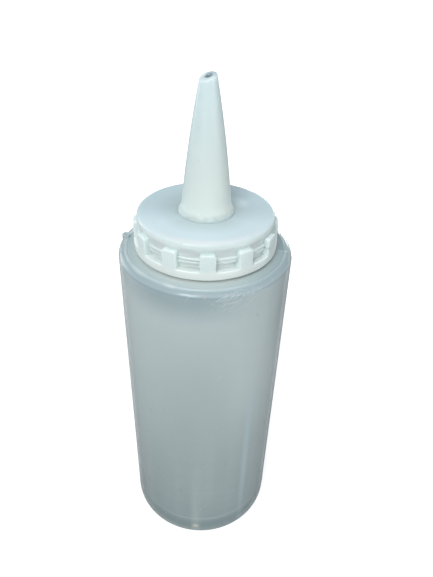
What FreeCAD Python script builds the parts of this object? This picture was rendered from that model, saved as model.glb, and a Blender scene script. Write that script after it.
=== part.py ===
import FreeCAD, Part
import os
import Sketcher

# A squeeze bottle for sauce, in two pieces: a thin-walled blown bottle, and a screw cap with a
# ribbed, windowed skirt and a long hollow nozzle cut off at a slant. The ear on the bottle's
# shoulder stands on the parting line of its mould. Millimetres, +Z up, origin in the middle of the base.

SIZES = {
    # the bottle's wall, outside unless it says otherwise
    "body_radius": 26.5,         # just under the shoulder
    "base_radius": 26.2,         # at the heel
    "heel_round": 2.4,
    "foot_radius": 22.5,         # inner edge of the ring that the bottle stands on
    "pushup_radius": 17.0,       # the middle of the base is raised
    "pushup_height": 1.6,
    "shoulder_height": 116.6,    # the shoulder at its edge, without the rounding
    "shoulder_round": 2.2,
    "bead_radius": 24.2,         # a fine bead runs round the edge of the shoulder
    "bead_half_width": 0.45,
    "bead_round": 0.55,
    "neck_radius": 17.6,
    "neck_root_height": 117.1,
    "neck_root_round": 0.8,
    "neck_top_height": 127.0,    # the underside of the cap's disc seats here
    "neck_wall": 1.2,
    "bottle_wall": 1.0,
    # the small round ear on the edge of the shoulder
    "ear_radius": 1.15,
    "ear_distance": 25.0,        # from the bottle's axis
    "ear_height": 1.3,           # above the shoulder
    "ear_sink": 0.9,             # how deep its root is in the wall
    "ear_round": 0.45,
    "ear_angle": 172.0,          # degrees from +X
    "dimple_radius": 0.4,
    "dimple_depth": 0.7,
    # the cap's disc and skirt
    "cap_turn": 17.0,            # degrees, which brings a rib to the front
    "disc_radius": 20.4,
    "disc_top_height": 128.3,
    "disc_round": 0.9,
    "disc_low_height": 126.55,   # underside of its rim
    "waist_radius": 20.0,        # between the disc and the ribs
    "skirt_bore": 18.9,
    "band_radius": 21.55,        # outside of the ribs and of the band that joins their feet
    "band_bore": 20.5,           # the band stands clear of the neck
    "band_web": 0.6,             # level wall inside the top of the band
    "band_low_height": 117.7,
    "band_top_height": 120.3,
    "band_round": 0.35,
    "rib_count": 12.0,
    "rib_width": 12.2,           # degrees
    "rib_top_height": 125.6,
    "rib_round": 0.8,
    "rib_edge_round": 0.3,
    "panel_radius": 19.75,       # outside of the skirt between two ribs
    "ring_radius": 19.95,        # from which the two beads of the skirt's ring swell
    "ring_low_height": 121.95,
    "ring_top_height": 123.85,
    "ring_bead_round": 0.5,
    "recess_radius": 19.45,      # outside of the thin wall between the ring and the band
    # the ring under the disc that seals in the neck
    "plug_radius": 16.3,
    "plug_wall": 0.9,
    "plug_depth": 4.0,
    # the nozzle
    "nozzle_radius": 7.2,        # above the flare at its foot
    "nozzle_foot_radius": 8.45,  # the flare stands on a low step
    "nozzle_foot_height": 0.3,
    "nozzle_flare": 4.9,
    "flare_height": 2.9,
    "nozzle_bulge": 400.0,       # radius of its slightly bulging side
    "nozzle_wall": 1.1,
    "bore_end_radius": 2.3,      # the tapering bore ends in a narrow orifice
    "bore_end_height": 156.0,
    "orifice_radius": 0.9,
    "tip_height": 168.5,         # before the end is cut off
    "tip_radius": 1.85,
    "cut_height": 166.0,         # where the cut meets the axis
    "cut_slant": 21.0,           # degrees
    "cut_turn": -66.0,           # degrees, from the front to the cut's low side
    "tip_round": 0.4,
}


def add_size_sheet(doc):
    """Puts the driving dimensions in a spreadsheet, one aliased cell each."""
    sheet = doc.addObject("Spreadsheet::Sheet", "sizes")
    for row, (name, value) in enumerate(SIZES.items(), start=1):
        sheet.set(f"A{row}", name)
        sheet.set(f"B{row}", str(value))
        sheet.setAlias(f"B{row}", name)
    doc.recompute()


def bind(thing, prop, expression):
    """Binds a property to an expression in which $name is a cell of the sheet."""
    thing.setExpression(prop, expression.replace("$", "sizes."))


def value_of(thing, expression):
    return float(thing.evalExpression(expression.replace("$", "sizes.")))


# Sketches


def new_sketch(body, name, role):
    sketch = body.newObject("Sketcher::SketchObject", name)
    plane = next(item for item in body.Origin.OriginFeatures if item.Role == role)
    sketch.AttachmentSupport = (plane, [""])
    sketch.MapMode = "FlatFace"
    return sketch


def hold(sketch, constraint, expression):
    """Adds a constraint whose size comes from the sheet."""
    number = sketch.addConstraint(constraint)
    bind(sketch, f"Constraints[{number}]", expression)


def hold_point(sketch, edge, end, place):
    """Holds an end of an edge, or a circle's centre, at a pair of expressions."""
    for kind, expression in zip(("DistanceX", "DistanceY"), place):
        size = value_of(sketch, expression)
        hold(sketch, Sketcher.Constraint(kind, -1, 1, edge, end, size), expression)


def outline_edge(start, end, radius, side):
    """A line, or with a radius an arc that bulges to one side of the way from start to end."""
    if radius is None:
        return Part.LineSegment(start, end)
    chord = end - start
    right = FreeCAD.Vector(chord.y, -chord.x, 0).normalize()
    bulge = radius - (radius**2 - (chord.Length / 2) ** 2) ** 0.5
    middle = (start + end) / 2 + right * (bulge if side == "right" else -bulge)
    return Part.Arc(start, middle, end)


def end_at(sketch, edge, point):
    """1 if the edge starts at the point, and 2 if it ends there."""
    return 1 if sketch.getPoint(edge, 1).distanceToPoint(point) < 1e-6 else 2


def draw_outline(sketch, corners):
    """Draws a closed outline. A corner is (across, up) in expressions, which also hold it, and for an
    arc to the next corner it has the arc's radius and the side that it bulges to."""
    points = [FreeCAD.Vector(value_of(sketch, c[0]), value_of(sketch, c[1]), 0) for c in corners]
    for index, corner in enumerate(corners):
        radius = value_of(sketch, corner[2]) if len(corner) > 2 else None
        following = points[(index + 1) % len(points)]
        sketch.addGeometry(outline_edge(points[index], following, radius, corner[-1]))
    for index, corner in enumerate(corners):
        end = end_at(sketch, index, points[index])
        before = (index - 1) % len(corners)
        end_before = end_at(sketch, before, points[index])
        sketch.addConstraint(Sketcher.Constraint("Coincident", before, end_before, index, end))
        hold_point(sketch, index, end, corner[:2])
        if len(corner) > 2:
            radius = value_of(sketch, corner[2])
            hold(sketch, Sketcher.Constraint("Radius", index, radius), corner[2])


def draw_circle(sketch, centre, radius):
    middle = FreeCAD.Vector(value_of(sketch, centre[0]), value_of(sketch, centre[1]), 0)
    sketch.addGeometry(Part.Circle(middle, FreeCAD.Vector(0, 0, 1), value_of(sketch, radius)))
    hold_point(sketch, 0, 3, centre)
    hold(sketch, Sketcher.Constraint("Radius", 0, value_of(sketch, radius)), radius)


# Features


def revolve(body, name, corners, kind="PartDesign::Revolution"):
    """Turns an outline, (radius, height) at each corner, round the axis."""
    sketch = new_sketch(body, name + "_outline", "XZ_Plane")
    draw_outline(sketch, corners)
    feature = body.newObject(kind, name)
    feature.Profile = sketch
    feature.ReferenceAxis = (sketch, ["V_Axis"])
    feature.Angle = 360.0
    body.Document.recompute()
    return feature


def extrude_circle(body, name, centre, radius, height, length, kind="PartDesign::Pad"):
    """A round pad, or a pocket, from a circle at this height."""
    sketch = new_sketch(body, name + "_circle", "XY_Plane")
    bind(sketch, ".AttachmentOffset.Base.z", height)
    draw_circle(sketch, centre, radius)
    feature = body.newObject(kind, name)
    feature.Profile = sketch
    bind(feature, "Length", length)
    body.Document.recompute()
    return feature


def round_edges(body, name, is_wanted, radius):
    """Rounds the edges of the body so far that is_wanted picks."""
    base = body.Tip
    names = [f"Edge{i}" for i, edge in enumerate(base.Shape.Edges, start=1) if is_wanted(edge)]
    if not names:
        raise RuntimeError(f"{name} found no edge to round")
    feature = body.newObject("PartDesign::Fillet", name)
    feature.Base = (base, names)
    bind(feature, "Radius", radius)
    body.Document.recompute()


def is_ring(body, radius, height):
    """Picks the circle round the axis that has this radius and height."""
    radius_size, height_size = value_of(body, radius), value_of(body, height)

    def is_wanted(edge):
        if edge.Curve.TypeId != "Part::GeomCircle":
            return False
        centre = edge.Curve.Center
        off_axis = abs(centre.x) + abs(centre.y)
        return max(off_axis, abs(centre.z - height_size), abs(edge.Curve.Radius - radius_size)) < 0.01

    return is_wanted


def is_level(body, height, length):
    """Picks edges that lie at this height with this length."""
    height_size, length_size = value_of(body, height), value_of(body, length)

    def is_wanted(edge):
        is_at_height = all(abs(vertex.Z - height_size) < 0.001 for vertex in edge.Vertexes)
        return is_at_height and abs(edge.Length - length_size) < 0.001

    return is_wanted


def is_on_cylinder(body, radius, lowest):
    """Picks edges at this distance from the axis, from this height up."""
    radius_size, lowest_size = value_of(body, radius), value_of(body, lowest)

    def is_wanted(edge):
        distances = [FreeCAD.Vector(vertex.X, vertex.Y, 0).Length for vertex in edge.Vertexes]
        is_at_radius = all(abs(distance - radius_size) < 0.01 for distance in distances)
        return is_at_radius and edge.CenterOfMass.z > lowest_size - 0.01

    return is_wanted


# The bottle


def make_bottle(doc):
    body = doc.addObject("PartDesign::Body", "bottle")
    body.Label = "bottle"
    neck_bore = "$neck_radius - $neck_wall"
    inner_base = "$base_radius - $bottle_wall"
    inner_body = "$body_radius - $bottle_wall"
    inner_shoulder = "$shoulder_height - $bottle_wall"
    revolve(body, "blown_wall", [
        ("0", "$pushup_height"),
        ("$pushup_radius", "$pushup_height"),
        ("$foot_radius", "0"),
        ("$base_radius", "0"),
        ("$body_radius", "$shoulder_height"),
        ("$bead_radius", "$shoulder_height"),
        ("$neck_radius + $neck_root_round", "$neck_root_height", "$neck_root_round", "left"),
        ("$neck_radius", "$neck_root_height + $neck_root_round"),
        ("$neck_radius", "$neck_top_height"),
        (neck_bore, "$neck_top_height"),
        (neck_bore, "$neck_root_height - $bottle_wall"),
        ("$bead_radius", inner_shoulder),
        (inner_body, inner_shoulder),
        (inner_base, "$bottle_wall"),
        ("$foot_radius", "$bottle_wall"),
        ("$pushup_radius", "$pushup_height + $bottle_wall"),
        ("0", "$pushup_height + $bottle_wall"),
    ])
    heel, heel_inside = is_ring(body, "$base_radius", "0"), is_ring(body, inner_base, "$bottle_wall")
    round_edges(body, "heel", heel, "$heel_round")
    round_edges(body, "heel_inside", heel_inside, "$heel_round - $bottle_wall")
    edge = is_ring(body, "$body_radius", "$shoulder_height")
    round_edges(body, "shoulder_edge", edge, "$shoulder_round")
    edge_inside = is_ring(body, inner_body, inner_shoulder)
    round_edges(body, "shoulder_inside", edge_inside, "$shoulder_round - $bottle_wall")
    add_shoulder_bead(body)
    add_ear(body)
    return body


def add_shoulder_bead(body):
    bead_root = "$shoulder_height - $bead_half_width"
    bead_inside, bead_outside = "$bead_radius - $bead_half_width", "$bead_radius + $bead_half_width"
    revolve(body, "shoulder_bead", [
        (bead_inside, bead_root),
        (bead_outside, bead_root),
        (bead_outside, "$shoulder_height", "$bead_round", "right"),
        (bead_inside, "$shoulder_height"),
    ])


def add_ear(body):
    """A small round ear on the edge of the shoulder, with a dimple in its top."""
    centre = ("$ear_distance * cos($ear_angle * 1deg)", "$ear_distance * sin($ear_angle * 1deg)")
    root = "$shoulder_height - $ear_sink"
    top = "$shoulder_height + $ear_height"
    extrude_circle(body, "ear", centre, "$ear_radius", root, "$ear_sink + $ear_height")
    round_edges(body, "ear_rim", is_level(body, top, "2 * pi * $ear_radius"), "$ear_round")
    extrude_circle(body, "ear_dimple", centre, "$dimple_radius", top, "$dimple_depth", "PartDesign::Pocket")


# The cap


def make_cap(doc):
    body = doc.addObject("PartDesign::Body", "cap")
    body.Label = "cap"
    revolve(body, "disc_and_skirt", [
        ("$band_bore", "$band_low_height"),
        ("$band_radius", "$band_low_height"),
        ("$band_radius", "$rib_top_height"),
        ("$waist_radius", "$rib_top_height"),
        ("$waist_radius", "$disc_low_height"),
        ("$disc_radius", "$disc_low_height"),
        ("$disc_radius", "$disc_top_height"),
        ("0", "$disc_top_height"),
        ("0", "$neck_top_height"),
        ("$skirt_bore", "$neck_top_height"),
        ("$skirt_bore", "$band_top_height - $band_web"),
        ("$band_bore", "$band_top_height - $band_web"),
    ])
    cut_windows(body)
    rib_ends = is_level(body, "$rib_top_height", "$band_radius - $waist_radius")
    round_edges(body, "rib_corners", rib_ends, "$rib_round")
    rib_outlines = is_on_cylinder(body, "$band_radius", "$band_top_height")
    round_edges(body, "rib_edges", rib_outlines, "$rib_edge_round")
    round_edges(body, "band_rim", is_ring(body, "$band_radius", "$band_low_height"), "$band_round")
    round_edges(body, "disc_rim", is_ring(body, "$disc_radius", "$disc_top_height"), "$disc_round")
    add_nozzle(body)
    cut_tip(body)
    bind(body, ".Placement.Rotation.Angle", "$cap_turn")
    return body


def cut_windows(body):
    """Between two ribs the skirt is set back to a panel, a beaded ring and, below it, a thin recess."""
    outside = "$band_radius + 1"
    window = revolve(body, "window", [
        (outside, "$band_top_height"),
        (outside, "$rib_top_height"),
        ("$panel_radius", "$rib_top_height"),
        ("$panel_radius", "$ring_top_height"),
        ("$ring_radius", "$ring_top_height", "$ring_bead_round", "left"),
        ("$ring_radius", "($ring_top_height + $ring_low_height) / 2", "$ring_bead_round", "left"),
        ("$ring_radius", "$ring_low_height"),
        ("$recess_radius", "$ring_low_height"),
        ("$recess_radius", "$band_top_height"),
    ], "PartDesign::Groove")
    window.Midplane = True
    bind(window, "Angle", "360 / $rib_count - $rib_width")
    windows = body.newObject("PartDesign::PolarPattern", "windows")
    windows.Originals = [window]
    windows.Axis = (window.Profile[0], ["V_Axis"])
    windows.Angle = 360.0
    bind(windows, "Occurrences", "$rib_count")
    body.Tip = windows
    body.Document.recompute()


def add_nozzle(body):
    """The nozzle with its flared foot, and through it and the ring under the disc, one bore."""
    foot_top = "$disc_top_height + $nozzle_foot_height"
    revolve(body, "nozzle", [
        ("0", "$neck_top_height"),
        ("$nozzle_foot_radius", "$neck_top_height"),
        ("$nozzle_foot_radius", foot_top, "$nozzle_flare", "left"),
        ("$nozzle_radius", foot_top + " + $flare_height", "$nozzle_bulge", "right"),
        ("$tip_radius", "$tip_height"),
        ("0", "$tip_height"),
    ])
    plug_end = "$neck_top_height - $plug_depth"
    revolve(body, "plug", [
        ("0", plug_end),
        ("$plug_radius", plug_end),
        ("$plug_radius", "$neck_top_height"),
        ("0", "$neck_top_height"),
    ])
    plug_bore = "$plug_radius - $plug_wall"
    revolve(body, "bore", [
        ("0", plug_end + " - 1"),
        (plug_bore, plug_end + " - 1"),
        (plug_bore, "$neck_top_height"),
        ("$nozzle_radius - $nozzle_wall", "$neck_top_height"),
        ("$bore_end_radius", "$bore_end_height"),
        ("$orifice_radius", "$bore_end_height + $bore_end_radius"),
        ("$orifice_radius", "$tip_height + 1"),
        ("0", "$tip_height + 1"),
    ], "PartDesign::Groove")


def cut_tip(body):
    """Cuts the nozzle's end off at a slant, and rounds the lip that this leaves."""
    wide = "3 * $tip_radius"
    cut = extrude_circle(body, "tip_cut", ("0", "0"), wide, "$cut_height", wide, "PartDesign::Pocket")
    bind(cut.Profile[0], ".AttachmentOffset.Rotation.Yaw", "$cut_turn")
    bind(cut.Profile[0], ".AttachmentOffset.Rotation.Roll", "$cut_slant")
    cut.Reversed = True
    body.Document.recompute()
    height, shortest = value_of(body, "$cut_height"), value_of(body, "2 * pi * $tip_radius")

    def is_lip(edge):
        return abs(edge.CenterOfMass.z - height) < 0.5 and edge.Length > shortest

    round_edges(body, "tip_lip", is_lip, "$tip_round")


# The document


def check(doc, bodies):
    """Stops if a feature failed, or if a piece isn't one sound solid."""
    for item in doc.Objects:
        if "Invalid" in item.State or "Error" in item.State:
            raise RuntimeError(f"{item.Name} failed: {item.State}")
    for body in bodies:
        if body.Shape.isNull() or not body.Shape.isValid() or len(body.Shape.Solids) != 1:
            raise RuntimeError(f"{body.Label} isn't one sound solid")


document = FreeCAD.newDocument("squeeze_bottle")
add_size_sheet(document)
pieces = [make_bottle(document), make_cap(document)]
document.recompute()
check(document, pieces)
os.makedirs("parts", exist_ok=True)
for piece in pieces:
    piece.Shape.exportStep(f"parts/{piece.Label}.step")
    print(f"{piece.Label}: {piece.Shape.Volume / 1000:.2f} cm3")
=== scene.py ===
"""Looks of an empty squeeze bottle with a screw-on nozzle cap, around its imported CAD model.

Lengths are in metres and angles in radians, unless a comment says otherwise.
"""

import math
from collections import namedtuple

import bmesh
import bpy
from mathutils import Matrix, Vector
from mathutils.bvhtree import BVHTree


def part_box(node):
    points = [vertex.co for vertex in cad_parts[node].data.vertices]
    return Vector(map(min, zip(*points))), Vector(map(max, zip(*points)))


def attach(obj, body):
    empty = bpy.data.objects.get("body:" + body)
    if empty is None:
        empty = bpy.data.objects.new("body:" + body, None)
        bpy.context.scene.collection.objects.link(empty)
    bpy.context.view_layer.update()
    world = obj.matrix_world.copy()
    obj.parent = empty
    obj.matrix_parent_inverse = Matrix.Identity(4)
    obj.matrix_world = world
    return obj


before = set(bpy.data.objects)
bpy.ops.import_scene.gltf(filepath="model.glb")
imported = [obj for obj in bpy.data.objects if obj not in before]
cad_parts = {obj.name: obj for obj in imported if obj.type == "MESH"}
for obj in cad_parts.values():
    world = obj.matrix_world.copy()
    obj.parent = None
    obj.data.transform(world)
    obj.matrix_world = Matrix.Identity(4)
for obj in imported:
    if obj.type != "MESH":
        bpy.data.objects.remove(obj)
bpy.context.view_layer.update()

MM = 0.001
DEGREE = math.pi / 180

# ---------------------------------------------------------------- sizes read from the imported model

BOTTLE_LOW, BOTTLE_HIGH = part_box("bottle")
CAP_LOW, CAP_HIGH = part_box("cap")
BODY_RADIUS = (BOTTLE_HIGH.x - BOTTLE_LOW.x) / 2
NECK_TOP = BOTTLE_HIGH.z
CAP_FOOT = CAP_LOW.z
TIP_TOP = CAP_HIGH.z
DISC_TOP = NECK_TOP + 1.3 * MM        # of the cap's disc, from which the nozzle rises
RING_HEIGHT = NECK_TOP - 4.1 * MM     # of the ring behind the cap's ribs
SHOULDER = NECK_TOP - 10.4 * MM       # height of its level top

# ---------------------------------------------------------------- sizes of edges and of the pieces made here

EDGE_ROUND = 2.2 * MM                 # of the shoulder
BEAD_LINE = 24.15 * MM                # from the axis to the painted highlight along the shoulder's bead
HEEL_ROUND = 2.4 * MM
HEEL_INSET = 2.7 * MM                 # from the body's side to the middle of the heel's rounding
BASE_LINE = 9.8 * MM                  # height of the painted highlight round the foot of the wall

PARTING_AZIMUTH = 172 * DEGREE        # the mould's halves met in a plane that runs through the ear
RIDGE_HALF = 0.28 * MM                # of its width, at its foot
RIDGE_CREST_HALF = 0.3 * RIDGE_HALF
RIDGE_HEIGHT = 0.09 * MM
RIDGE_SINK = 0.25 * MM                # how deep a ridge or thread is rooted in the wall

NECK_RADIUS = 17.6 * MM
THREAD_REACH = 0.9 * MM
THREAD_SINK = 0.02 * MM               # how far its crest dips below the neck's skin where it has run out
THREAD_RUN_OUT = 1 / 8                # of its length, at either end
THREAD_PITCH = 4.2 * MM
THREAD_TURNS = 1.3
THREAD_START = CAP_FOOT + 1.5 * MM
THREAD_FOOT_HALF = 0.95 * MM
THREAD_CREST_HALF = 0.35 * MM
THREAD_STEPS = 160

WELL_ABOVE = 200 * MM                 # clear of the bottle, where a feeler for its skin starts
WELL_OUT = 40 * MM
OFF_ROUNDING = 20 * MM                # from the middle of a rounding to where its feelers start


# ---------------------------------------------------------------- node helpers

# A place on the object, its height, its distance from the axis, and its angle from the front, -Y, towards +X.
Places = namedtuple("Places", "place height reach angle")


class Tree:
    """The nodes of a material or a world, added with one call each."""

    def __init__(self, owner, output="OutputMaterial"):
        owner.use_nodes = True
        self.nodes = owner.node_tree.nodes
        self.links = owner.node_tree.links
        self.nodes.clear()
        self.output = self.add(output)

    def add(self, kind, **inputs):
        """Adds a node. Each input is given by its socket's name: a value, or another node's socket."""
        node = self.nodes.new("ShaderNode" + kind)
        for name, value in inputs.items():
            self.feed(node.inputs[name.replace("_", " ")], value)
        return node

    def feed(self, socket, value):
        if isinstance(value, bpy.types.NodeSocket):
            self.links.new(value, socket)
        else:
            socket.default_value = value

    def maths(self, operation, first, second=0.0):
        node = self.add("Math")
        node.operation = operation
        self.feed(node.inputs[0], first)
        self.feed(node.inputs[1], second)
        return node.outputs[0]

    def times(self, *factors):
        """All the factors multiplied together."""
        product = factors[0]
        for factor in factors[1:]:
            product = self.maths("MULTIPLY", product, factor)
        return product

    def ramp(self, value, low, high, low_out=0.0, high_out=1.0):
        """value taken smoothly from low..high to low_out..high_out."""
        node = self.add("MapRange", Value=value, From_Min=low, From_Max=high, To_Min=low_out, To_Max=high_out)
        node.interpolation_type = "SMOOTHSTEP"
        return node.outputs["Result"]

    def fall(self, value, low, high):
        """1 up to low, falling smoothly to 0 at high."""
        return self.ramp(value, low, high, 1.0, 0.0)

    def bump_of(self, value, middle, half):
        """1 where value is middle, falling smoothly to 0 at half to either side."""
        distance = self.maths("ABSOLUTE", self.maths("SUBTRACT", value, middle))
        return self.fall(distance, 0.0, half)

    def patch(self, at, angle, angle_half, height, height_half):
        """1 at the middle of a patch on a round side, falling smoothly to 0 at its borders."""
        sideways = self.bump_of(at.angle, angle, angle_half)
        return self.times(sideways, self.bump_of(at.height, height, height_half))

    def mix(self, share, first, second):
        """Colour first turning into colour second as share goes from 0 to 1."""
        node = self.add("Mix")
        node.data_type = "RGBA"
        self.feed(node.inputs[0], share)
        # The node's sockets for colours have the same names as those for other values, so go by number.
        self.feed(node.inputs[6], first)
        self.feed(node.inputs[7], second)
        return node.outputs[2]

    def lay(self, colour, over, *shares):
        """colour with another colour laid over it, as far as all the shares let it."""
        return self.mix(self.times(*shares), colour, over)

    def noise(self, place, scale, detail=3.0, stretch=None):
        """Noise with this many lumps a metre, drawn out along an axis where stretch is given."""
        if stretch:
            place = self.add("Mapping", Vector=place, Scale=stretch).outputs["Vector"]
        return self.add("TexNoise", Vector=place, Scale=scale, Detail=detail, Roughness=0.5).outputs["Fac"]

    def turned(self, place, rotation):
        """The place turned round the x, y and z axes by these angles."""
        return self.add("Mapping", Vector=place, Rotation=rotation).outputs["Vector"]

    def relief(self, height, strength, depth, normal=None):
        """The normal of a skin this deep that rises and falls with height, over another skin's normal."""
        node = self.add("Bump", Strength=strength, Distance=depth, Height=height)
        if normal:
            self.feed(node.inputs["Normal"], normal)
        return node.outputs["Normal"]

    def places(self):
        """Where on the object the light falls, in the object's own coordinates."""
        place = self.add("TexCoord").outputs["Object"]
        split = self.add("SeparateXYZ", Vector=place)
        x, y, height = split.outputs["X"], split.outputs["Y"], split.outputs["Z"]
        reach = self.maths("SQRT", self.maths("ADD", self.times(x, x), self.times(y, y)))
        angle = self.maths("ARCTAN2", x, self.times(y, -1.0))
        return Places(place, height, reach, angle)

    def either(self, share, first, second):
        """Shader first turning into shader second as share goes from 0 to 1."""
        node = self.add("MixShader")
        for socket, source in zip(node.inputs, (share, first.outputs[0], second.outputs[0])):
            self.feed(socket, source)
        return node

    def both(self, first, second):
        """The light of both shaders together."""
        node = self.add("AddShader")
        for socket, source in zip(node.inputs, (first, second)):
            self.feed(socket, source.outputs[0])
        return node

    def close(self, shader):
        """Ends the tree in this shader."""
        self.feed(self.output.inputs["Surface"], shader.outputs[0])


# ---------------------------------------------------------------- colours

def linear(red, green, blue):
    """A colour given as it looks on a screen, 0 to 255, as the linear colour that a shader takes."""
    def one(value):
        value /= 255
        return value / 12.92 if value <= 0.04045 else ((value + 0.055) / 1.055) ** 2.4
    return (one(red), one(green), one(blue), 1.0)


WHITE = (1, 1, 1, 1)

BOTTLE_UPPER = linear(213, 226, 226)
BOTTLE_LOWER = linear(169, 184, 185)
BOTTLE_CLOUD = linear(208, 221, 222)
# Painted shade under the shoulder, on its rounding and on parts of its top.
PAINTED_SHADE_COLOUR = linear(150, 173, 180)
SHOULDER_COLOUR = linear(208, 224, 225)
# Painted light on the neck and beside the cap, and painted highlights on the shoulder.
NECK_LIGHT_COLOUR = linear(225, 236, 236)
BESIDE_CAP_LIGHT_COLOUR = linear(236, 244, 239)
SHOULDER_HIGHLIGHT_COLOUR = linear(238, 245, 247)
# Painted shade at the foot, partly the thicker plastic, and a painted highlight round it.
BASE_SHADE_COLOUR = linear(138, 158, 160)
BASE_HIGHLIGHT_COLOUR = linear(205, 218, 220)
# Painted highlights, apart from the stain.
STREAK_HIGHLIGHT_COLOUR = linear(222, 230, 226)
SPOT_HIGHLIGHT_COLOUR = linear(240, 238, 222)
STAIN_COLOUR = linear(214, 200, 178)
WALL_HIGHLIGHT_COLOUR = linear(202, 224, 230)
SCRATCH_COLOUR = linear(220, 230, 230)
SPECK_COLOUR = linear(120, 118, 108)

CAP_DARKER = linear(220, 234, 233)
CAP_LIGHTER = linear(227, 240, 238)
BAND_COLOUR = linear(240, 250, 240)
RING_COLOUR = linear(200, 213, 208)
DISC_COLOUR = linear(216, 235, 241)
# Painted shade behind the nozzle and round the disc's middle.
DISC_SHADE_COLOUR = linear(152, 173, 176)
NOZZLE_SURROUND_COLOUR = linear(186, 196, 188)
# Painted light along the front rim and painted shade on the rim's rounding.
FRONT_RIM_LIGHT_COLOUR = linear(238, 243, 243)
RIM_SHADE_COLOUR = linear(193, 205, 203)
NOZZLE_COLOUR = linear(213, 229, 230)
NOZZLE_LOW_COLOUR = linear(220, 230, 224)
# Painted shade on the nozzle's left, at the flare's foot, at the tip and in the opening.
NOZZLE_LEFT_SHADE_COLOUR = linear(188, 210, 218)
FLARE_SHADE_COLOUR = linear(184, 194, 190)
TIP_SHADE_COLOUR = linear(130, 148, 156)


# ---------------------------------------------------------------- the bottle's plastic

# Where the painted highlight streak runs up the front.
STREAK_ANGLE = -4 * DEGREE
STREAK_HALF = 6 * DEGREE
SHADE_ANGLE = -15 * DEGREE                         # of the middle of the blue shade under the shoulder
PARTING_ANGLE = PARTING_AZIMUTH - 90 * DEGREE      # of the half of the parting line away from the ear

# Painted highlights, pale upright strips on the wall: angle and half width in degrees, lowest and highest
# point in mm.
WALL_HIGHLIGHTS = ((36, 4.5, -12, 100), (66, 5, 4, 40), (-72, 5, 48, 82))

# Painted highlights along the bead of the shoulder: angle and half width in degrees.
BEAD_HIGHLIGHTS = ((-23, 7), (-50, 12))

# How steeply the two crossing groups of scratches rise, and the turn that lays both along the wall.
SCRATCH_RISES = (0.55, 0.2)
SCRATCH_TURN = -0.32


def wall_colour(tree, at, cloud):
    """Greyer towards the base, partly painted shade, and cloudy, with faint marks of the plastic's flow up
    and round the wall, painted shade at the front and high on the right, painted light on the right, and a
    painted blue shade under the shoulder.
    """
    # Greyer towards the base: partly the plastic's tone, partly painted shade.
    colour = tree.mix(tree.ramp(at.height, 0.0, 125 * MM), BOTTLE_LOWER, BOTTLE_UPPER)
    colour = tree.lay(colour, BOTTLE_CLOUD, tree.ramp(cloud, 0.3, 0.75, 0.0, 0.18))
    flow = tree.noise(at.place, 130.0, 2.0, (1, 1, 0.04))
    colour = tree.lay(colour, BOTTLE_CLOUD, tree.ramp(flow, 0.4, 0.7, 0.0, 0.14))
    hoop = tree.noise(at.place, 480.0, 2.0, (0.12, 0.12, 1))
    colour = tree.lay(colour, BOTTLE_CLOUD, tree.ramp(hoop, 0.4, 0.7, 0.0, 0.06))

    # Painted shade at the front and high on the right, painted light on the right.
    front = tree.patch(at, -4 * DEGREE, 36 * DEGREE, 70 * MM, 54 * MM)
    colour = tree.lay(colour, BOTTLE_LOWER, 0.33, front)
    right = tree.patch(at, 34 * DEGREE, 26 * DEGREE, 88 * MM, 40 * MM)
    colour = tree.lay(colour, BOTTLE_UPPER, 0.7, right)
    high_right = tree.patch(at, 68 * DEGREE, 28 * DEGREE, 104 * MM, 26 * MM)
    colour = tree.lay(colour, BOTTLE_LOWER, 0.6, high_right)

    # Painted blue shade under the shoulder's rounding, strongest a little left of the front.
    aside = tree.maths("ABSOLUTE", tree.maths("SUBTRACT", at.angle, SHADE_ANGLE))
    return tree.lay(
        colour, PAINTED_SHADE_COLOUR, 0.6, tree.ramp(at.height, SHOULDER - 12.6 * MM, SHOULDER - 2.1 * MM),
        tree.fall(at.height, SHOULDER - 1.2 * MM, SHOULDER - 0.5 * MM),
        tree.ramp(aside, 8 * DEGREE, 62 * DEGREE, 1.0, 0.15))


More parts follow.
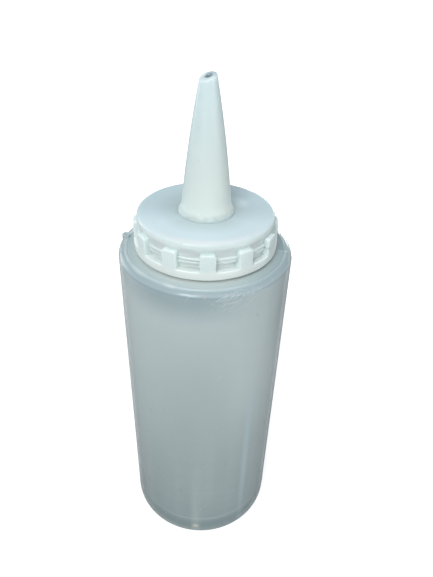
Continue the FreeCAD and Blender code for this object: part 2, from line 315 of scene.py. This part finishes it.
def shoulder_colour(tree, at, colour):
    """The shoulder's level top, with painted light beside the cap and on the neck, painted highlights along
    its bead, its rounding and the parting line, and painted shade on its rounding, on its right and left and
    beyond the parting line.
    """
    at_top = tree.ramp(at.height, SHOULDER - 0.6 * MM, SHOULDER)
    on_top = tree.times(at_top, tree.ramp(at.reach, 19 * MM, 20 * MM))
    colour = tree.lay(colour, SHOULDER_COLOUR, on_top)
    # Painted light beside the cap, where the band would shade the shoulder.
    colour = tree.lay(colour, BESIDE_CAP_LIGHT_COLOUR, 0.8, on_top, tree.fall(at.reach, 21.2 * MM, 23.2 * MM))
    # Painted shade on the rounding down to the wall.
    colour = tree.lay(
        colour, PAINTED_SHADE_COLOUR, 0.62, tree.ramp(at.reach, 24.5 * MM, 25.3 * MM),
        tree.ramp(at.height, SHOULDER - EDGE_ROUND, SHOULDER - 1.4 * MM))

    # Painted highlights along the bead.
    colour = tree.lay(colour, SHOULDER_HIGHLIGHT_COLOUR, 0.45, on_top, tree.bump_of(at.reach, BEAD_LINE, 0.4 * MM))
    for angle, half in BEAD_HIGHLIGHTS:
        colour = tree.lay(
            colour, SHOULDER_HIGHLIGHT_COLOUR, 0.8, on_top, tree.bump_of(at.angle, angle * DEGREE, half * DEGREE),
            tree.bump_of(at.reach, BEAD_LINE + 0.25 * MM, 1.2 * MM))
    # Painted highlight along the middle of the rounding.
    colour = tree.lay(
        colour, SHOULDER_HIGHLIGHT_COLOUR, 0.15, tree.bump_of(at.height, SHOULDER - 1.0 * MM, 0.45 * MM),
        tree.ramp(at.reach, 25.0 * MM, 25.2 * MM))

    # Painted shade on the right and on the left of the shoulder's top.
    colour = tree.lay(colour, PAINTED_SHADE_COLOUR, 0.5, on_top, tree.ramp(at.angle, 5 * DEGREE, 60 * DEGREE))
    colour = tree.lay(colour, PAINTED_SHADE_COLOUR, 0.3, on_top, tree.fall(at.angle, -70 * DEGREE, -15 * DEGREE))
    # Painted shade beyond the parting line, and a painted highlight along it.
    shade_beyond_parting = tree.ramp(at.angle, PARTING_ANGLE - 4 * DEGREE, PARTING_ANGLE + 2 * DEGREE)
    colour = tree.lay(colour, PAINTED_SHADE_COLOUR, 0.35, on_top, shade_beyond_parting)
    parting = tree.bump_of(at.angle, PARTING_ANGLE, 0.8 * DEGREE)
    colour = tree.lay(colour, SHOULDER_HIGHLIGHT_COLOUR, 0.6, on_top, parting)
    # Painted light on the neck.
    return tree.lay(colour, NECK_LIGHT_COLOUR, at_top, tree.fall(at.reach, 18.5 * MM, 19.5 * MM))


def base_colour(tree, at, colour):
    """Darker towards the foot of the wall, partly the thicker plastic and partly painted shade, below a
    painted highlight round it that is strongest at the front.
    """
    # Darker towards the foot: partly thicker plastic, partly painted shade.
    colour = tree.lay(colour, BASE_SHADE_COLOUR, tree.ramp(at.height, 10 * MM, 26 * MM, 0.16, 0.0))
    colour = tree.lay(colour, BASE_SHADE_COLOUR, 0.6, tree.fall(at.height, 6.0 * MM, 10.2 * MM))
    # Painted highlight round the foot of the wall, strongest at the front.
    line = tree.bump_of(at.height, BASE_LINE, 0.7 * MM)
    facing = tree.ramp(tree.maths("ABSOLUTE", at.angle), 5 * DEGREE, 60 * DEGREE, 1.0, 0.3)
    return tree.lay(colour, BASE_HIGHLIGHT_COLOUR, 0.45, line, facing)


def bottle_stain_and_highlights(tree, at, colour):
    """Painted highlights: the streak and cream spot at the front and the pale upright strips; and a stain
    below the shoulder.
    """
    broken = tree.ramp(tree.noise(at.place, 160.0, 2.0, (1, 1, 0.25)), 0.3, 0.6, 0.5, 1.0)
    # Painted highlight: a broken pale streak up the front of the wall.
    colour = tree.lay(
        colour, STREAK_HIGHLIGHT_COLOUR, 0.28, tree.bump_of(at.angle, STREAK_ANGLE, STREAK_HALF),
        tree.fall(at.height, 8 * MM, 46 * MM), broken)
    stain = tree.patch(at, 0.0, 1.72 * DEGREE, SHOULDER - 1.2 * MM, 1.0 * MM)
    colour = tree.lay(colour, STAIN_COLOUR, 0.4, stain)
    # Painted highlight: a cream spot at the foot of the streak.
    spot = tree.patch(at, STREAK_ANGLE, 4.125 * DEGREE, 5.0 * MM, 1.6 * MM)
    colour = tree.lay(colour, SPOT_HIGHLIGHT_COLOUR, 0.9, spot)
    # Painted highlights: pale upright strips on the wall.
    for angle, half, low, high in WALL_HIGHLIGHTS:
        highlight_strip = tree.patch(at, angle * DEGREE, half * DEGREE, (low + high) / 2 * MM, (high - low) / 2 * MM)
        colour = tree.lay(colour, WALL_HIGHLIGHT_COLOUR, 0.6, highlight_strip)
    return colour


def bottle_wear(tree, at, colour):
    """Fine scratches here and there, two crossing groups of them under the shoulder, and a few specks."""
    worn = tree.patch(at, 28 * DEGREE, 34 * DEGREE, 110 * MM, 14 * MM)
    lines = tree.noise(tree.turned(at.place, (0.5, 0.9, 0.3)), 110.0, 1.0, (1, 14, 14))
    scratch = tree.ramp(tree.maths("ADD", lines, tree.times(worn, 0.10)), 0.72, 0.78)
    colour = tree.lay(colour, SCRATCH_COLOUR, 0.35, scratch)
    rubbed = tree.patch(at, 20 * DEGREE, 24 * DEGREE, 113 * MM, 5 * MM)
    for rise in SCRATCH_RISES:
        lines = tree.noise(tree.turned(at.place, (0.0, rise, SCRATCH_TURN)), 300.0, 1.0, (0.4, 9, 9))
        colour = tree.lay(colour, SCRATCH_COLOUR, 0.85, rubbed, tree.ramp(lines, 0.56, 0.64))
    return tree.lay(colour, SPECK_COLOUR, 0.2, tree.ramp(tree.noise(at.place, 620.0, 0.0), 0.855, 0.88))


def bottle_plastic():
    """Thin soft polyethylene that lets through part of what is behind it."""
    material = bpy.data.materials.new("bottle_plastic")
    tree = Tree(material)
    at = tree.places()
    cloud = tree.noise(at.place, 30.0, 2.0)
    colour = wall_colour(tree, at, cloud)
    for add_colour in (shoulder_colour, base_colour, bottle_stain_and_highlights, bottle_wear):
        colour = add_colour(tree, at, colour)
    swell = tree.relief(tree.noise(at.place, 70.0, 1.0, (1, 1, 0.4)), 0.25, 0.4 * MM)
    tree.close(tree.add(
        "BsdfPrincipled",
        Base_Color=colour,
        Roughness=tree.ramp(cloud, 0.3, 0.8, 0.17, 0.24),
        IOR=1.49,
        Alpha=0.7,
        Subsurface_Weight=0.4,
        Subsurface_Radius=(1.0, 1.0, 1.0),
        Subsurface_Scale=2.0 * MM,
        Normal=tree.relief(tree.noise(at.place, 1500.0), 0.12, 0.05 * MM, swell),
    ))
    return material


# ---------------------------------------------------------------- the cap's plastic

def skirt_colour(tree, at, cloud):
    """Milky, paler in the band that joins the ribs' feet, greyer in the ring behind the ribs."""
    colour = tree.mix(tree.ramp(cloud, 0.3, 0.75), CAP_DARKER, CAP_LIGHTER)
    band = tree.fall(at.height, CAP_FOOT + 1.8 * MM, CAP_FOOT + 3.8 * MM)
    colour = tree.lay(colour, BAND_COLOUR, 0.6, band)
    behind_ribs = tree.fall(at.reach, 20.3 * MM, 20.5 * MM)
    return tree.lay(colour, RING_COLOUR, 0.6, tree.bump_of(at.height, RING_HEIGHT, 1.6 * MM), behind_ribs)


def disc_colour(tree, at, cloud, colour):
    """The disc's flat top, greyer round the nozzle, with painted shade behind the nozzle and round its
    middle, painted light along the front of its rim and painted shade on the rim's rounding.
    """
    on_disc = tree.ramp(at.height, DISC_TOP - 0.4 * MM, DISC_TOP - 0.2 * MM)
    colour = tree.lay(colour, DISC_COLOUR, on_disc)
    flat = tree.times(on_disc, tree.fall(at.height, DISC_TOP + 0.2 * MM, DISC_TOP + 0.8 * MM))
    # A greyer, warmer ring round the nozzle's foot, uneven with the cloud.
    colour = tree.lay(
        colour, NOZZLE_SURROUND_COLOUR, 0.65, flat, tree.fall(at.reach, 8.5 * MM, 15.0 * MM),
        tree.ramp(cloud, 0.3, 0.7, 0.4, 1.0))

    # Painted shade behind the nozzle, less where the nozzle's own cast shadow falls, and round the disc's
    # middle.
    nozzle_cast_shadow = tree.times(
        tree.bump_of(at.angle, 122 * DEGREE, 34 * DEGREE), tree.fall(at.reach, 11.5 * MM, 15.5 * MM))
    forward = tree.times(at.reach, tree.maths("COSINE", at.angle))
    shade_behind_nozzle = tree.times(
        tree.ramp(at.reach, 12.5 * MM, 17.5 * MM, 1.0, 0.8), tree.fall(forward, -4 * MM, 12 * MM),
        tree.ramp(nozzle_cast_shadow, 0.0, 1.0, 1.0, 0.3))
    shade_round_middle = tree.ramp(at.reach, 10.0 * MM, 17.5 * MM, 0.34, 0.0)
    colour = tree.lay(colour, DISC_SHADE_COLOUR, 0.5, flat, tree.maths("MAXIMUM", shade_behind_nozzle, shade_round_middle))

    # Painted light along the front of the rim.
    at_front = tree.ramp(tree.maths("ABSOLUTE", at.angle), 10 * DEGREE, 60 * DEGREE, 0.7, 0.0)
    colour = tree.lay(colour, FRONT_RIM_LIGHT_COLOUR, on_disc, tree.ramp(at.reach, 17.0 * MM, 19.2 * MM), at_front)
    # Painted shade on the rim's rounding.
    return tree.lay(
        colour, RIM_SHADE_COLOUR, 0.6, tree.bump_of(at.height, DISC_TOP - 0.4 * MM, 0.8 * MM),
        tree.ramp(at.reach, 19.2 * MM, 19.7 * MM))


def nozzle_colour(tree, at, colour):
    """Creamier towards its uneven foot, with painted shade on its left, at the foot of its flare, at the cut
    tip and in the opening.
    """
    upward = tree.ramp(at.height, DISC_TOP + 2 * MM, DISC_TOP + 38 * MM)
    nozzle = tree.mix(upward, NOZZLE_LOW_COLOUR, NOZZLE_COLOUR)
    # Painted blue shade on the nozzle's left side.
    nozzle = tree.lay(nozzle, NOZZLE_LEFT_SHADE_COLOUR, 0.3, tree.bump_of(at.angle, -78 * DEGREE, 50 * DEGREE))
    colour = tree.lay(colour, nozzle, tree.ramp(at.height, DISC_TOP + 0.4 * MM, DISC_TOP + 1.5 * MM))
    # Painted shade, broken up by noise, at the foot of the flare.
    colour = tree.lay(
        colour, FLARE_SHADE_COLOUR, 0.8, tree.ramp(at.height, DISC_TOP + 0.1 * MM, DISC_TOP + 0.2 * MM),
        tree.fall(at.height, DISC_TOP + 0.5 * MM, DISC_TOP + 2.4 * MM),
        tree.ramp(tree.noise(at.place, 520.0, 2.0), 0.35, 0.65, 0.6, 1.0))
    # Painted shade at the cut tip and in the opening.
    colour = tree.lay(colour, TIP_SHADE_COLOUR, 0.5, tree.ramp(at.height, TIP_TOP - 1.0 * MM, TIP_TOP - 0.1 * MM))
    return tree.lay(
        colour, TIP_SHADE_COLOUR, 0.7, tree.ramp(at.height, TIP_TOP - 8 * MM, TIP_TOP - 6 * MM),
        tree.fall(at.reach, 0.9 * MM, 1.3 * MM))


def cap_dirt(tree, at, colour):
    """A few faint specks all over, and a darker one beside a rib on the right."""
    colour = tree.lay(colour, SPECK_COLOUR, 0.12, tree.ramp(tree.noise(at.place, 700.0, 0.0), 0.85, 0.88))
    beside_rib = tree.patch(at, 57 * DEGREE, 2 * DEGREE, RING_HEIGHT - 0.3 * MM, 0.7 * MM)
    return tree.lay(colour, SPECK_COLOUR, 0.6, beside_rib)


def cap_plastic():
    """Thicker milky polyethylene, rough at the foot of the nozzle."""
    material = bpy.data.materials.new("cap_plastic")
    tree = Tree(material)
    at = tree.places()
    cloud = tree.noise(at.place, 55.0, 2.0)
    colour = skirt_colour(tree, at, cloud)
    colour = disc_colour(tree, at, cloud, colour)
    colour = nozzle_colour(tree, at, colour)
    colour = cap_dirt(tree, at, colour)
    at_foot = tree.times(
        tree.ramp(at.height, DISC_TOP + 0.2 * MM, DISC_TOP + 0.6 * MM),
        tree.fall(at.height, DISC_TOP + 2 * MM, DISC_TOP + 4 * MM))
    lumps = tree.times(tree.noise(at.place, 900.0, 2.0), at_foot)
    rough = tree.relief(lumps, 0.8, 0.3 * MM)
    tree.close(tree.add(
        "BsdfPrincipled",
        Base_Color=colour,
        Roughness=tree.maths("ADD", tree.ramp(cloud, 0.3, 0.8, 0.29, 0.36), tree.times(at_foot, 0.2)),
        IOR=1.51,
        Subsurface_Weight=0.8,
        Subsurface_Radius=(1.0, 1.0, 1.0),
        Subsurface_Scale=2.5 * MM,
        Normal=tree.relief(tree.noise(at.place, 1400.0), 0.12, 0.05 * MM, rough),
    ))
    return material


def set_material(piece, material):
    """Gives the whole piece this one material."""
    piece.data.materials.clear()
    piece.data.materials.append(material)
    for face in piece.data.polygons:
        face.material_index = 0


bottle_material = bottle_plastic()
cap_material = cap_plastic()
set_material(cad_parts["bottle"], bottle_material)
set_material(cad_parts["cap"], cap_material)


# ---------------------------------------------------------------- pieces made here

def add_tube(name, rings):
    """A closed skin of the bottle's plastic over rings of points that follow each other along a line."""
    shape = bmesh.new()
    loops = [[shape.verts.new(point) for point in ring] for ring in rings]
    for before, after in zip(loops, loops[1:]):
        for index, vertex in enumerate(before):
            following = (index + 1) % len(before)
            shape.faces.new((vertex, before[following], after[following], after[index]))
    shape.faces.new(list(reversed(loops[0])))
    shape.faces.new(loops[-1])
    bmesh.ops.recalc_face_normals(shape, faces=shape.faces)
    mesh = bpy.data.meshes.new(name)
    shape.to_mesh(mesh)
    shape.free()
    mesh.materials.append(bottle_material)
    piece = bpy.data.objects.new(name, mesh)
    bpy.context.scene.collection.objects.link(piece)
    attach(piece, "root")


def spread(first, last, count):
    """count values in even steps from first to last."""
    return [first + (last - first) * step / (count - 1) for step in range(count)]


def make_thread():
    """The bottle's screw thread, under the cap, with ends that run out into the neck."""
    root = NECK_RADIUS - RIDGE_SINK
    rings = []
    for share in spread(0.0, 1.0, THREAD_STEPS + 1):
        angle = share * THREAD_TURNS * math.tau
        height = THREAD_START + share * THREAD_TURNS * THREAD_PITCH
        run_out = min(1.0, share / THREAD_RUN_OUT, (1 - share) / THREAD_RUN_OUT)
        crest = NECK_RADIUS - THREAD_SINK + THREAD_REACH * run_out
        outline = (
            (root, -THREAD_FOOT_HALF), (crest, -THREAD_CREST_HALF),
            (crest, THREAD_CREST_HALF), (root, THREAD_FOOT_HALF))
        rings.append([
            (radius * math.cos(angle), radius * math.sin(angle), height + rise) for radius, rise in outline])
    add_tube("neck_thread", rings)


def make_ridge(name, feelers, skin, across):
    """A fine ridge on the bottle's skin, along the places where the feelers, start and heading, touch it."""
    rings = []
    for start, heading in feelers:
        spot, normal = skin.ray_cast(start, heading)[:2]
        if spot is None:
            raise RuntimeError(f"{name} missed the bottle")
        crest = spot + RIDGE_HEIGHT * normal
        foot = spot - RIDGE_SINK * normal
        rings.append([
            foot - RIDGE_HALF * across, crest - RIDGE_CREST_HALF * across,
            crest + RIDGE_CREST_HALF * across, foot + RIDGE_HALF * across])
    add_tube(name, rings)


def feel_round(middle, out, along, turns):
    """Feelers towards the middle of a rounding, from out turned towards along by each of these degrees."""
    headings = [math.cos(turn * DEGREE) * out + math.sin(turn * DEGREE) * along for turn in turns]
    return [(middle + OFF_ROUNDING * heading, -heading) for heading in headings]


def make_parting_line():
    """Where the halves of the bottle's mould met: over the shoulder, down both sides and across the base."""
    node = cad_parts["bottle"]
    skin = BVHTree.FromPolygons(
        [vertex.co for vertex in node.data.vertices], [face.vertices for face in node.data.polygons])
    up = Vector((0, 0, 1))
    for side, azimuth in (("ear_side", PARTING_AZIMUTH), ("far_side", PARTING_AZIMUTH + math.pi)):
        out = Vector((math.cos(azimuth), math.sin(azimuth), 0))
        across = up.cross(out)
        shoulder = [(reach * out + WELL_ABOVE * up, -up) for reach in spread(19.2 * MM, 23.5 * MM, 10)]
        edge_middle = (BODY_RADIUS - EDGE_ROUND) * out + (SHOULDER - EDGE_ROUND) * up
        edge = feel_round(edge_middle, out, up, spread(80, 8, 8))
        wall = [(WELL_OUT * out + height * up, -out) for height in spread(SHOULDER - 2.4 * MM, 3.0 * MM, 24)]
        heel_middle = (BODY_RADIUS - HEEL_INSET) * out + HEEL_ROUND * up
        heel = feel_round(heel_middle, out, -up, spread(5, 62, 8))
        if side == "ear_side":
            make_ridge("parting_line_by_ear", shoulder, skin, across)
            make_ridge("parting_line_" + side, wall + heel, skin, across)
            base = [(reach * out - WELL_OUT * up, up) for reach in spread(21.0 * MM, -21.0 * MM, 32)]
            make_ridge("parting_line_base", base, skin, across)
        else:
            make_ridge("parting_line_" + side, shoulder + edge + wall + heel, skin, across)


make_thread()
make_parting_line()


# ---------------------------------------------------------------- floor, light and camera

FLOOR_HALF = 4.0
FLOOR_GREY = (0.4, 0.4, 0.4, 1)       # to the light that falls on the bottle
FLOOR_SHADE = (0.5, 0.5, 0.5, 1)      # to the camera, below its glow
STUDIO_COLOUR = (0.9, 0.95, 1.0, 1)
STUDIO_STRENGTH = 0.52

CAMERA_PLACE = Vector((0, -138.9 * MM, 199.0 * MM))
CAMERA_DIP = 0.619                    # below the horizon
CAMERA_PAN = 0.0276                   # to the right of straight ahead
CAMERA_ROLL = 0.0353
CAMERA_SENSOR = 36                    # height in mm; this and the focal length are as Blender gives them
CAMERA_LENS = 32.71


def make_floor():
    """Grey to the light that falls on the bottle, and nearly white with a soft shadow to the camera."""
    mesh = bpy.data.meshes.new("floor")
    corners = [(x * FLOOR_HALF, y * FLOOR_HALF, 0) for x, y in ((-1, -1), (1, -1), (1, 1), (-1, 1))]
    mesh.from_pydata(corners, [], [(0, 1, 2, 3)])
    floor = bpy.data.objects.new("floor", mesh)
    bpy.context.scene.collection.objects.link(floor)
    material = bpy.data.materials.new("floor_paper")
    tree = Tree(material)
    glow = tree.ramp(tree.places().reach, 80 * MM, 350 * MM, 0.7, 1.0)
    unseen = tree.add("BsdfDiffuse", Color=FLOOR_GREY)
    lift = tree.add("Emission", Color=WHITE, Strength=glow)
    seen = tree.both(tree.add("BsdfDiffuse", Color=FLOOR_SHADE), lift)
    tree.close(tree.either(tree.add("LightPath").outputs["Is Camera Ray"], unseen, seen))
    mesh.materials.append(material)


def make_world():
    """A cool grey studio to the bottle, and plain white to the camera."""
    world = bpy.data.worlds.new("studio")
    bpy.context.scene.world = world
    tree = Tree(world, "OutputWorld")
    unseen = tree.add("Background", Color=STUDIO_COLOUR, Strength=STUDIO_STRENGTH)
    seen = tree.add("Background", Color=WHITE, Strength=1.0)
    tree.close(tree.either(tree.add("LightPath").outputs["Is Camera Ray"], unseen, seen))


def add_lamp(name, place, aim, size, watts, colour=(1.0, 1.0, 1.0)):
    """A flat lamp that shines from place towards aim."""
    light = bpy.data.lights.new(name, "AREA")
    light.shape = "RECTANGLE"
    light.size, light.size_y = size
    light.energy = watts
    light.color = colour
    lamp = bpy.data.objects.new(name, light)
    lamp.location = place
    lamp.rotation_euler = (Vector(aim) - Vector(place)).to_track_quat("-Z", "Y").to_euler()
    bpy.context.scene.collection.objects.link(lamp)


def make_camera():
    """Placed and turned by the view of the rims and outlines: a little above the cap, close, looking down."""
    camera = bpy.data.cameras.new("camera")
    camera.sensor_fit = "VERTICAL"
    camera.sensor_height = CAMERA_SENSOR
    camera.lens = CAMERA_LENS
    camera.clip_start = 5 * MM
    holder = bpy.data.objects.new("camera", camera)
    turn = Matrix.Rotation(-CAMERA_PAN, 4, "Z") @ Matrix.Rotation(math.pi / 2 - CAMERA_DIP, 4, "X")
    holder.matrix_world = Matrix.Translation(CAMERA_PLACE) @ turn @ Matrix.Rotation(CAMERA_ROLL, 4, "Z")
    bpy.context.scene.collection.objects.link(holder)
    bpy.context.scene.camera = holder


make_floor()
make_world()
add_lamp("key", (-0.35, -0.85, 0.9), aim=(0, 0, 0.08), size=(0.45, 0.45), watts=8.0)
add_lamp("top", (-0.1, -0.25, 1.1), aim=(0, 0, 0.1), size=(0.5, 0.5), watts=1.2, colour=(0.92, 0.97, 1.0))
add_lamp("fill", (0.95, -0.6, 0.28), aim=(0, 0, 0.08), size=(0.5, 0.5), watts=2.2)
add_lamp("back_left", (-0.95, 0.6, 0.25), aim=(0, 0, 0.08), size=(0.5, 0.5), watts=2.4)
add_lamp("back_low", (0.35, 1.15, 0.09), aim=(0, 0, 0.06), size=(0.6, 0.18), watts=4.0)
make_camera()

bpy.context.scene.view_settings.view_transform = "Standard"
